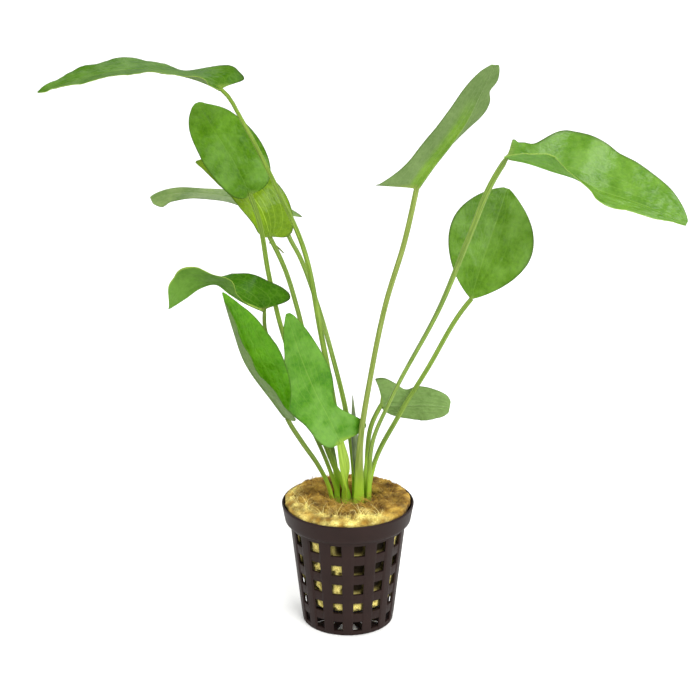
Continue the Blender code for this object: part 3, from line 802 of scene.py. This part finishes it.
# %% Relief of a blade
VEINS = (0.2, 0.42, 0.68)
VEIN_SUNK, VEIN_PROUD, VEIN_WIDTH = 0.07, 0.13, 0.4
GROOVE_DEPTH, GROOVE_WIDTH = 0.12, 0.45
PUCKER_COARSE, PUCKER_FINE = 0.34, 0.2
LIT_WIDTH = 5.5
HALF_SHEET = 0.2
TO_MARGIN = np.array([
    0, 0.015, 0.03, 0.05, 0.075, 0.105, 0.14, 0.17, 0.2, 0.23, 0.27, 0.32, 0.37, 0.4, 0.42, 0.44, 0.48,
    0.53, 0.59, 0.64, 0.68, 0.72, 0.77, 0.83, 0.89, 0.94, 0.975, 1.0])
ACROSS = np.concatenate([-TO_MARGIN[:0:-1], TO_MARGIN])


def vein_depth(v, width):
    """How much each point lies on an arching vein, for its share v of a half width in millimetres."""
    total = np.zeros(v.shape)
    for place in VEINS:
        off = (np.abs(v) - place) * np.maximum(width, 1)
        total = np.maximum(total, (1 - 0.6 * place) * np.exp(-((off / VEIN_WIDTH) ** 2)))
    return total


def blade_rings(leaf, us, keel_foot, seed):
    """Rings round the blade, and the values that its finish reads."""
    middle, look, along, across = blade_grid(leaf, us, ACROSS)
    u, v = np.meshgrid(us, ACROSS, indexing="ij")
    step_u, step_v = np.gradient(middle, axis=0), np.gradient(middle, axis=1)
    begun = ease(u / 0.03)[..., None]
    normal = unit(unit(-np.cross(step_u, step_v)) * begun + look * (1 - begun))
    half = across[:, [0, -1]]
    width = np.where(v < 0, half[:, :1], half[:, 1:])
    from_rib = ease(np.abs(v) * width / 2)
    spots = np.stack([along, across * np.sign(v), np.full_like(u, seed * 9.7)], axis=2).reshape(-1, 3)
    pucker = PUCKER_COARSE * turbulence(spots, 4.2, seed) + PUCKER_FINE * turbulence(spots, 1.9, seed + 1)
    calm = leaf["pucker"] * from_rib * ease(u / 0.1) * ease((1 - u) / 0.06)
    wave = leaf["wave"] * np.sin(2 * math.pi * (along / leaf["wavelength"] + 0.37 * (v < 0) + 0.13 * seed))
    shift = pucker.reshape(u.shape) * calm + wave * np.abs(v) ** 3 * ease(u / 0.15) * ease((1 - u) / 0.08)
    middle = middle + normal * shift[..., None]
    keel = keel_foot * ((1 - u) ** 0.9 * 0.85 + 0.1)
    keel = np.where(u < 0.04, keel_foot + (keel - keel_foot) * ease(u / 0.04), keel)
    crest = keel_foot * (1 - ease(u / 0.07))
    sheet = HALF_SHEET * np.sqrt(np.clip(1 - np.abs(v) ** 8, 0, 1)) * ease(width / 2)
    ridge = vein_depth(v, width) * ease(u / 0.06) * ease((1 - u) / 0.05) * from_rib
    groove = GROOVE_DEPTH * np.exp(-((across / GROOVE_WIDTH) ** 2)) * ease(u / 0.12)
    over = sheet + np.sqrt(np.maximum(crest**2 - across**2, 0)) - VEIN_SUNK * ridge - groove
    under = sheet + np.sqrt(np.maximum(keel**2 - across**2, 0)) + VEIN_PROUD * ridge
    back = slice(-2, 0, -1)
    rings = np.concatenate([middle + normal * over[..., None],
                            (middle - normal * under[..., None])[:, back]], axis=1)
    lit = np.where(v < 0, *leaf["lit"]) * ease((LIT_WIDTH - across) / 3) * ease((0.8 - u) / 0.3)
    # Painted sheen, a pale grey-green for the waxy skin's glancing reflection, runs from the base to the tip
    painted_sheen_base, painted_sheen_tip = leaf["painted_sheen"]
    # For each half, whether its margin takes a painted pale highlight
    rows = {"along": along, "across": across * np.sign(v), "share": v, "lit": lit,
            "painted_sheen": painted_sheen_base + (painted_sheen_tip - painted_sheen_base) * ease(u / 0.7),
            "hem": np.where(v < 0, *leaf["hem_highlight"]), "petiole": 0.9 * (1 - ease(u / 0.05)),
            "under": np.zeros_like(u)}
    painted = {label: np.concatenate([row, row[:, back] + (label == "under")], axis=1)
               for label, row in rows.items()}
    return rings, painted


# %% A whole leaf
STALK_RINGS = 56
BLADE_RINGS = 84
BLADE_START, BLADE_END = 0.006, 0.99
SHEATH_TOP, SHEATH_FADE = 74, 22
CHANNEL_DEPTH = 0.35
STALK_RADIUS = 1.2


def stalk_rings(leaf):
    """Rings round the stalk, from a level foot up to the blade, and the values for its finish."""
    path, tangent, length = smooth_path(leaf["stalk"], STALK_RINGS)
    _, rib_tangent, blade_normal, _ = blade_frame(leaf, 3)
    tangent[0] = (0, 0, 1)
    tangent[-1] = unit(tangent[-1] + rib_tangent[0])
    inward = unit(np.array([*(np.array(POCKET_CENTRE) - path[0, :2]), 0.0]))
    share = np.linspace(0, 1, STALK_RINGS)
    to_blade = ease(share)[:, None]
    normal = inward * (1 - to_blade) + blade_normal[0] * to_blade
    normal = unit(normal - (normal * tangent).sum(1)[:, None] * tangent)
    side = np.cross(tangent, normal)
    girth, depth = (through(leaf[label], share)[:, None, None] for label in ("girth", "depth"))
    over = np.linspace(np.pi, 0, len(ACROSS))
    around = np.concatenate([over, -over[-2:0:-1]])
    channel = 1 - CHANNEL_DEPTH * np.maximum(np.sin(around), 0) ** 3
    rings = (path[:, None] + side[:, None] * girth * np.cos(around)[:, None]
             + normal[:, None] * depth * (channel * np.sin(around))[:, None])
    level = np.zeros(rings.shape[:2])
    painted = {**dict.fromkeys(("share", "lit", "painted_sheen", "hem"), level), "petiole": level + 1,
               "along": level + ((share - 1) * length)[:, None], "across": level + around * STALK_RADIUS,
               "under": level + (around < 0)}
    return rings, painted, float(depth[-1, 0, 0])


def make_leaf(name, leaf, seed):
    """A leaf in one piece, from the foot of its stalk to the tip of its blade."""
    leaf = {**PLAIN_LEAF, **leaf}
    lower, lower_paint, keel_foot = stalk_rings(leaf)
    t = np.linspace(0, 1, BLADE_RINGS)
    us = BLADE_START + (BLADE_END - BLADE_START) * (0.35 * t + 0.65 * ease(t))
    upper, upper_paint = blade_rings(leaf, us, keel_foot, seed)
    points, faces = skin(np.concatenate([lower, upper]))
    values = {}
    for label, rows in lower_paint.items():
        flat = np.concatenate([rows, upper_paint[label]]).ravel()
        values[label] = np.append(flat, [flat[0], flat[-1]])
    values["sheath"] = ease((SHEATH_TOP - points[:, 2]) / SHEATH_FADE) * (values["petiole"] > 0.95)
    return mesh_object(name, points, faces, leaf_finish(name + "_tissue", leaf), values)


# %% [markdown]
# ## Leaf tissue
# A leaf is thin wet tissue in a waxy skin. From above it is a saturated green with lighter veins
# and a soft gloss. From below it is paler and greyer, because air lies under the skin there. Light
# from behind comes through it as yellow-green. So the finish mixes a Principled shader with a
# share of Translucent, and draws the veins from the values stored on the mesh: the share of the
# half width for the arching veins, and millimetres along and across for the net between them.

# %% Living leaf, waxy above and matt below
NET_ALONG, NET_ACROSS = 2.6, 1.3
STREAK_ALONG, STREAK_ACROSS = 12.0, 0.35
VEIN_STOPS = [
    (0.0, 0.55), (0.022, 0.1), (0.05, 0.0), (0.185, 0.0), (0.2, 0.35), (0.215, 0.0), (0.405, 0.0),
    (0.42, 0.28), (0.435, 0.0), (0.665, 0.0), (0.68, 0.2), (0.695, 0.0)]


def leaf_finish(name, leaf):
    """Green tissue with arching veins, a net of cross veins, a pale underside and an olive stalk."""
    material, add, shader = new_finish(name, IOR=1.42, Specular_IOR_Level=leaf["shine"],
                                       Coat_Weight=0.05, Coat_Roughness=0.3)
    along, across, share, under, lit, painted_sheen, hem_highlight, petiole, sheath = (
        add("Attribute", attribute_name=label).outputs["Fac"] for label in (
            "along", "across", "share", "under", "lit", "painted_sheen", "hem", "petiole", "sheath"))

    # The arching veins follow the share of the half width, and the net lies slanting between them
    aside = add("Math", [share], operation="ABSOLUTE")
    veins = set_ramp(add("ValToRGB", {"Fac": aside}), VEIN_STOPS)
    slant = add("Math", [aside, -4.0, along], operation="MULTIPLY_ADD")
    spot = add("CombineXYZ", [add("Math", [slant, NET_ALONG], operation="DIVIDE"),
                              add("Math", [across, NET_ACROSS], operation="DIVIDE")])
    net = add("TexVoronoi", {"Vector": spot, "Scale": 1.0}, feature="DISTANCE_TO_EDGE")
    lines = add("MapRange", {"Value": net, "From Max": 0.12, "To Min": 0.1, "To Max": 0.0})
    main_veins = add("Math", [veins, leaf["veining"]], operation="MULTIPLY")
    drawn = add("Math", [main_veins, lines], operation="MAXIMUM")

    # The upper face: mottled green under a painted sheen
    place = add("TexCoord").outputs["Object"]
    cloud = add("TexNoise", {"Vector": place, "Scale": 1 / (9 * MM), "Detail": 2.0})
    cells = add("TexNoise", {"Vector": place, "Scale": 1 / (1.4 * MM), "Detail": 2.0})
    mottle = add("Mix", [0.35, cloud, cells])
    bare, grey = (set_ramp(add("ValToRGB", {"Fac": mottle}), [(0.34, dark), (0.66, light)])
                  for dark, light in (leaf["upper"], leaf["lower"]))
    sheen_patches = add("MapRange", {"Value": cloud, "From Min": 0.42, "From Max": 0.62})
    sheen_amount = add("Math", [sheen_patches, painted_sheen], operation="MULTIPLY")
    # Painted sheen: a pale grey-green stands for the waxy skin's reflection of the white surroundings
    green = add("Mix", [sheen_amount, bare, "A4C884"], data_type="RGBA")
    veined = add("Mix", [drawn, green, leaf["vein"]], data_type="RGBA")

    # The lower face is greyer, and light from above tints it where it is lit
    below = add("Mix", [lit, grey, green], data_type="RGBA")
    below = add("Mix", [drawn, below, leaf["lower_vein"]], data_type="RGBA")
    face = add("Mix", [under, veined, below], data_type="RGBA")
    # A thin line along the margin: dark green, or a pale yellow-green painted highlight on the halves that
    # take one, for light glinting on the margin and shining through it
    hem = add("MapRange", {"Value": aside, "From Min": 0.93, "From Max": 0.99, "To Max": 0.65})
    rim_tone = add("Mix", [hem_highlight, "3E5A18", "B8D060"], data_type="RGBA")
    blade = add("Mix", [hem, face, rim_tone], data_type="RGBA")

    # The stalk is streaked along its length
    grain = add("CombineXYZ", [add("Math", [along, STREAK_ALONG], operation="DIVIDE"),
                               add("Math", [across, STREAK_ACROSS], operation="DIVIDE")])
    streaks = add("TexNoise", {"Scale": 1.0, "Detail": 2.0, "Vector": grain})
    stem = set_ramp(add("ValToRGB", {"Fac": streaks}), list(zip((0.38, 0.62), leaf["stem"])))
    stalk = add("Mix", [sheath, stem, leaf["sheath"]], data_type="RGBA")
    whole = add("Mix", [petiole, blade, stalk], data_type="RGBA")

    wax = add("MapRange", {"Value": cloud, "To Min": 0.3, "To Max": 0.48})
    dome = add("MapRange", {"Value": net, "From Max": 0.4})
    plug(shader, {
        "Base Color": whole, "Roughness": add("Mix", [under, wax, 0.6]),
        "Normal": add("Bump", {"Height": dome, "Strength": 0.35, "Distance": 0.25 * MM})})
    glow = add("Mix", [1.0, whole, "FFFFB0"], data_type="RGBA", blend_type="MULTIPLY")
    mixed = add("MixShader", [0.3, shader, add("BsdfTranslucent", {"Color": glow})])
    plug(material.node_tree.nodes["Material Output"], {"Surface": mixed})
    return material


# %% [markdown]
# ## The eleven leaves
# The values of each leaf are read off the plant: three to seven points for a midrib, a few for a
# stalk, all in millimetres. Pairs are for the left and the right half of the blade, seen from
# above with the tip ahead. The older leaves stand high and arch over. The younger ones are low,
# bright and glossy. Leaves 8 and 11 show only their pale undersides.

# %% The leaves' design values
# Millimetres and degrees. A pair of colours is the darkest and the lightest, the painted sheen goes
# from the base to the tip, and the other pairs are for the left and the right half
PLAIN_LEAF = dict(
    reach=(0.75, 0.75), blunt=(0.85, 0.85), fold=((8, 8), (8, 8)), flare=(0, 0), dents=(),
    girth=(1.7, 1.2, 1.0, 1.0, 1.0), depth=(1.1, 1.0, 1.0, 1.0, 0.9), wave=0.4, wavelength=17,
    upper=("4C800E", "6A9F20"), vein="93BC4E", lower=("5E7A3B", "738D50"), lower_vein="93A870", lit=(0, 0),
    stem=("64822C", "90AC48"), sheath="B4DC3C", veining=1.0, painted_sheen=(0, 0), shine=0.3,
    pucker=1.0, hem_highlight=(0, 0))
LEAVES = {
    "1": dict(
        stalk=[(-0.8, 8.2, 42.3), (-1.2, 7.5, 58), (-6, 4, 96), (-11, -1, 128), (-18, -6, 166),
               (-27, -8, 188), (-41, -12, 218), (-46, -13, 227), (-48, -13, 229)],
        rib=[(-54, -13, 232), (-66, -16, 236), (-82, -20, 238), (-97, -25, 236), (-116, -30, 231)],
        face=[(0, -0.05, 1), (0, -0.05, 1), (0, -0.1, 1)],
        half=(16, 15), lobe=(0.1, 0.26), blunt=(0.85, 0.8), flare=(0, 2),
        fold=((14, 8, 8), (26, -3, 0, 6, 8, 11, 14)), girth=(1.7, 1.5, 1.4, 1.3, 1.2),
        upper=("3C6A0A", "56801A"), painted_sheen=(0, 0.1), shine=0.05, hem_highlight=(1, 0)),
    "2": dict(
        stalk=[(0.6, 4.2, 42.3), (-0.5, 4.5, 55), (-5, 5, 65), (-16, 6, 95), (-26, 8, 122),
               (-32, 10, 148), (-36, 11, 172), (-39, 12, 181)],
        rib=[(-45, 14, 193), (-54, 18, 207), (-61, 30, 215)],
        face=[(0.1, -0.9, 0.45), (0.1, -0.9, 0.45), (0, -0.8, 0.7)],
        half=(11, 13.5), lobe=(0.13, 0.12), reach=(1.0, 0.8), blunt=(0.75, 0.8),
        upper=("447208", "60920E"), veining=0.35, painted_sheen=(0.15, 0.06), shine=0.12),
    "3": dict(
        stalk=[(-4.6, 9.6, 42.3), (-4.6, 10, 56), (-16, 17, 109), (-21, 20, 131), (-26, 23, 147),
               (-32, 24, 160)],
        rib=[(-36, 24, 173), (-46, 29, 182), (-63, 36, 189)],
        face=[(0.3, -0.85, 0.4), (0.3, -0.85, 0.4), (0.3, -0.8, 0.5)],
        half=(8, 12), lobe=(0.05, 0.2), fold=((20, 20), (8, 8)),
        upper=("668B04", "83A80C"), vein="B8DC48", veining=1.8),
    "4": dict(
        stalk=[(3.2, 9.6, 42.3), (3, 10, 58), (-1, 18, 87), (-6, 23, 107), (-12, 29, 127),
               (-20, 36, 148), (-25, 42, 156), (-27, 46, 161)],
        rib=[(-41, 48, 168), (-60, 53, 171), (-75, 56, 170), (-84, 54, 168)],
        face=[(0, -0.1, 1), (0, -0.1, 1), (-0.4, -0.6, 0.6)],
        half=(8.5, 7.3), lobe=(0.15, 0.28), reach=(0.8, 0.6), blunt=(0.4, 0.45),
        fold=((5, 5), (36, 10, 0)), dents=((0.72, 0.16, -0.2, -0.35), (0.95, 0.06, 0.8, 0)),
        upper=("6E8E4A", "96B068"), wave=0.1, pucker=0.15),
    "5": dict(
        stalk=[(-3.4, 5, 42.3), (-4.2, 4.6, 54), (-7, 2, 65), (-20, -2, 98), (-28, -6, 117),
               (-33, -8, 132), (-33, -8, 139)],
        rib=[(-41, -12, 144), (-46, -14, 148), (-52, -17, 153), (-58, -20, 152), (-63, -23, 149),
             (-70, -26, 145)],
        face=[(0, -0.26, 0.97), (0, -0.26, 0.97), (0, -0.03, 1), (0, 0.28, 0.96), (0, 0.56, 0.83),
              (0, 0.77, 0.64), (0, 0.74, 0.67)],
        half=(13, 12.5), lobe=(0.0, 0.42), reach=(2.0, 0.8), blunt=(1.3, 0.8),
        fold=((50, 50, 33, 12, 20, 50, 57), (55, 55, 40, 16, 24, 45, 50)),
        dents=((0.68, 0.06, 0.1, 0), (0.8, 0.06, -0.12, 0), (0.93, 0.06, 0.25, 0)),
        upper=("2E5E03", "467A06"), shine=0.1, hem_highlight=(1, 0), lower=("4D7920", "659035"),
        lower_vein="7A9F4A", stem=("56702A", "829A44")),
    "6": dict(
        stalk=[(-6, 2.5, 42.3), (-6.6, 1.6, 53), (-12, -10, 73), (-18, -16, 85), (-23, -22, 96),
               (-24, -24, 99)],
        rib=[(-29, -26, 107), (-40, -31, 126), (-44, -34, 140), (-48, -37, 156)],
        face=[(0.7, -0.7, 0.33)] * 2,
        half=(11, 14.5), lobe=(0.1, 0.0), reach=(0.5, 0.92), fold=((72, 72), (50, 50, 44)),
        upper=("488606", "62A212"), shine=0.2, stem=("566E26", "7E963E")),
    "7": dict(
        stalk=[(-1.4, 0.6, 42.3), (-1.4, 0.2, 53), (-1, -6, 69), (-3, -8, 82)],
        rib=[(-6, -10, 90), (-13, -13, 106), (-19, -16, 123), (-24, -20, 142)],
        face=[(0.2, -0.85, 0.4)] * 2,
        half=(10, 9.5), lobe=(0.1, 0.12), reach=(0.75, 0.9), blunt=(0.8, 0.6), flare=(0, 7),
        dents=((0.36, 0.12, 0, -0.62), (0.52, 0.12, 0.47, 0)),
        girth=(1.0, 1.4, 2.1, 2.5, 1.6), depth=(1.0, 0.9, 0.8, 0.8, 0.8),
        upper=("42800A", "66A220"), stem=("8AAA36", "AAC84C"), painted_sheen=(0.2, 0.1), shine=0.3),
    "8": dict(
        stalk=[(4.3, 0.9, 42.3), (4.5, 0.6, 54), (5, -6, 80), (9, -13, 112), (15, -20, 146),
               (22, -28, 174), (26, -32, 195)],
        rib=[(32, -36, 205), (38, -40, 214), (44, -46, 225), (48, -50, 235), (53, -56, 247)],
        face=[(-0.4, 0.8, 0.45)] * 2,
        half=(8, 10), lobe=(0.05, 0.17), blunt=(0.45, 0.4), flare=(0, 10),
        fold=((55, 50, 25, 0, 0), (0, 10, 5)),
        dents=((0.8, 0.05, -0.35, 0), (0.3, 0.15, -0.2, -0.2), (0.06, 0.04, 0, 0.4), (0.99, 0.03, 0, -0.2)),
        girth=(3.0, 2.2, 1.4, 1.2, 1.1, 1.1, 1.1, 1.1, 1.1), stem=("768C36", "96A654"), lit=(0.1, 0.9),
        upper=("5A8610", "7CA428"), wave=0.1, pucker=0.25),
    "9": dict(
        stalk=[(8.4, 3.8, 42.3), (8.8, 3.6, 56), (10, 0, 79), (18, -4, 101), (37, -10, 142),
               (47, -14, 170), (56, -18, 195), (61, -19, 204)],
        rib=[(68, -21, 203), (78, -23, 200), (86, -26, 198), (96, -28, 193), (104, -31, 191),
             (114, -34, 188), (128, -38, 182)],
        face=[(0.35, -0.5, 0.8)] * 2,
        half=(18, 13), lobe=(0.1, 0.14), reach=(0.82, 0.72), blunt=(0.6, 0.85),
        fold=((35, 35), (40, 66, 40, 14, 10, 10)),
        dents=((0.02, 0.02, 0.3, 0), (0.11, 0.05, -0.3, 0), (0.2, 0.08, -0.5, 0)),
        girth=(1.8, 1.4, 1.2, 1.2, 1.2), upper=("50820E", "709F22"), lower=("5C9422", "78AC38"),
        painted_sheen=(0.25, 0.05), shine=0.5, hem_highlight=(0, 1)),
    "10": dict(
        stalk=[(8.2, 7.8, 42.3), (8.6, 8.2, 54), (11, 11, 65), (21, 14, 85), (33, 17, 105),
               (48, 22, 130), (51, 22, 134)],
        rib=[(54, 23, 145), (60, 28, 162), (66, 36, 178)],
        face=[(-0.1, -0.93, 0.35)] * 2,
        half=(17.5, 18.5), lobe=(0.02, 0.02), reach=(1.2, 1.05), blunt=(0.72, 0.85), veining=0.6,
        upper=("4E7C0C", "6C9C1E"), painted_sheen=(0.08, 0.12)),
    "11": dict(
        stalk=[(6.6, 11.3, 42.3), (6.9, 11.8, 54), (8, 17, 66), (10, 18, 80), (14, 20, 88)],
        rib=[(23, 20, 88), (32, 18, 89), (43, 17, 88)],
        face=[(0, 1, 0.1)] * 2,
        half=(8.3, 9), lobe=(0.0, 0.28), reach=(1.25, 0.8), blunt=(0.38, 0.35), flare=(0, 4),
        fold=((10, 10), (5, 5)), dents=((0.3, 0.12, 0, 0.2), (0.53, 0.08, 0, -0.25)),
        lower=("6C8C46", "86A65C"), lower_vein="A0BC78"),
}

# %% Make the leaves
for number, leaf_values in LEAVES.items():
    made_leaf = make_leaf("sword_leaf_" + number, leaf_values, int(number))
    settle(made_leaf, "leaf", "leaf_" + number)


# %% [markdown]
# ## A dried shred
# Where leaf 3 joins its stalk, a strip of its sheath has torn loose and dried to a dark curl. It is
# a thin tube that tapers, and it starts inside the stalk, so that it reads as grown on.

# %% The shred of leaf 3
SHRED = [(-32.2, 24, 157.9), (-30.5, 24, 157.0), (-28.5, 24, 155.5), (-26.4, 24, 153.3)]
SHRED_RINGS = 20


def make_shred():
    path = smooth_path(SHRED, SHRED_RINGS)[0]
    turn = turns(8)
    thick = np.linspace(0.42, 0.22, SHRED_RINGS)[:, None]
    rings = np.stack([path[:, :1] + 0.7 * thick * np.sin(turn), path[:, 1:2] - 0.5 * thick * np.cos(turn),
                      path[:, 2:] + thick * np.sin(turn)], axis=2)
    material = new_finish("sheath_dried", Base_Color="66703C", Roughness=0.7, IOR=1.42)[0]
    settle(mesh_object("dried_shred", *skin(rings), material), "leaf", "leaf_3")


make_shred()

# %% [markdown]
# ## The spear leaf
# The youngest leaf is still rolled up into a thin dull spear. Its edge runs down the roll as one
# slanting line, so each ring steps out where the blade laps over itself.

# %% Rolled leaf
SPEAR = [(4.2, 5.6, 42.3), (4.3, 5.8, 54), (3, 8, 77), (2, 10, 96)]
SPEAR_RADIUS = (1.3, 1.4, 1.5, 1.25, 0.15)
SPEAR_RINGS, SPEAR_COLUMNS = 60, 28


def rolled_tissue():
    """Dull grey-green with fine streaks that run up the roll."""
    material, add, shader = new_finish("young_leaf_rolled", Roughness=0.5, IOR=1.42)
    place = add("TexCoord").outputs["Object"]
    stretched = add("Mapping", {"Vector": place, "Scale": (1, 1, 0.08)})
    streaks = add("TexNoise", {"Vector": stretched, "Scale": 1 / (0.6 * MM)})
    tint = set_ramp(add("ValToRGB", {"Fac": streaks}), [(0.35, "4B5A38"), (0.65, "75845A")])
    plug(shader, {"Base Color": tint})
    return material


def make_spear():
    path = smooth_path(SPEAR, SPEAR_RINGS)[0]
    turn = turns(SPEAR_COLUMNS)
    share = np.linspace(0, 1, SPEAR_RINGS)
    lap = ((turn / (2 * math.pi) + 1.3 * share[:, None]) % 1) * 0.22
    rings = level_rings(path, through(SPEAR_RADIUS, share)[:, None] * (0.88 + lap), turn)
    settle(mesh_object("rolled_spear", *skin(rings), rolled_tissue()), "spear", "spear_leaf")


make_spear()
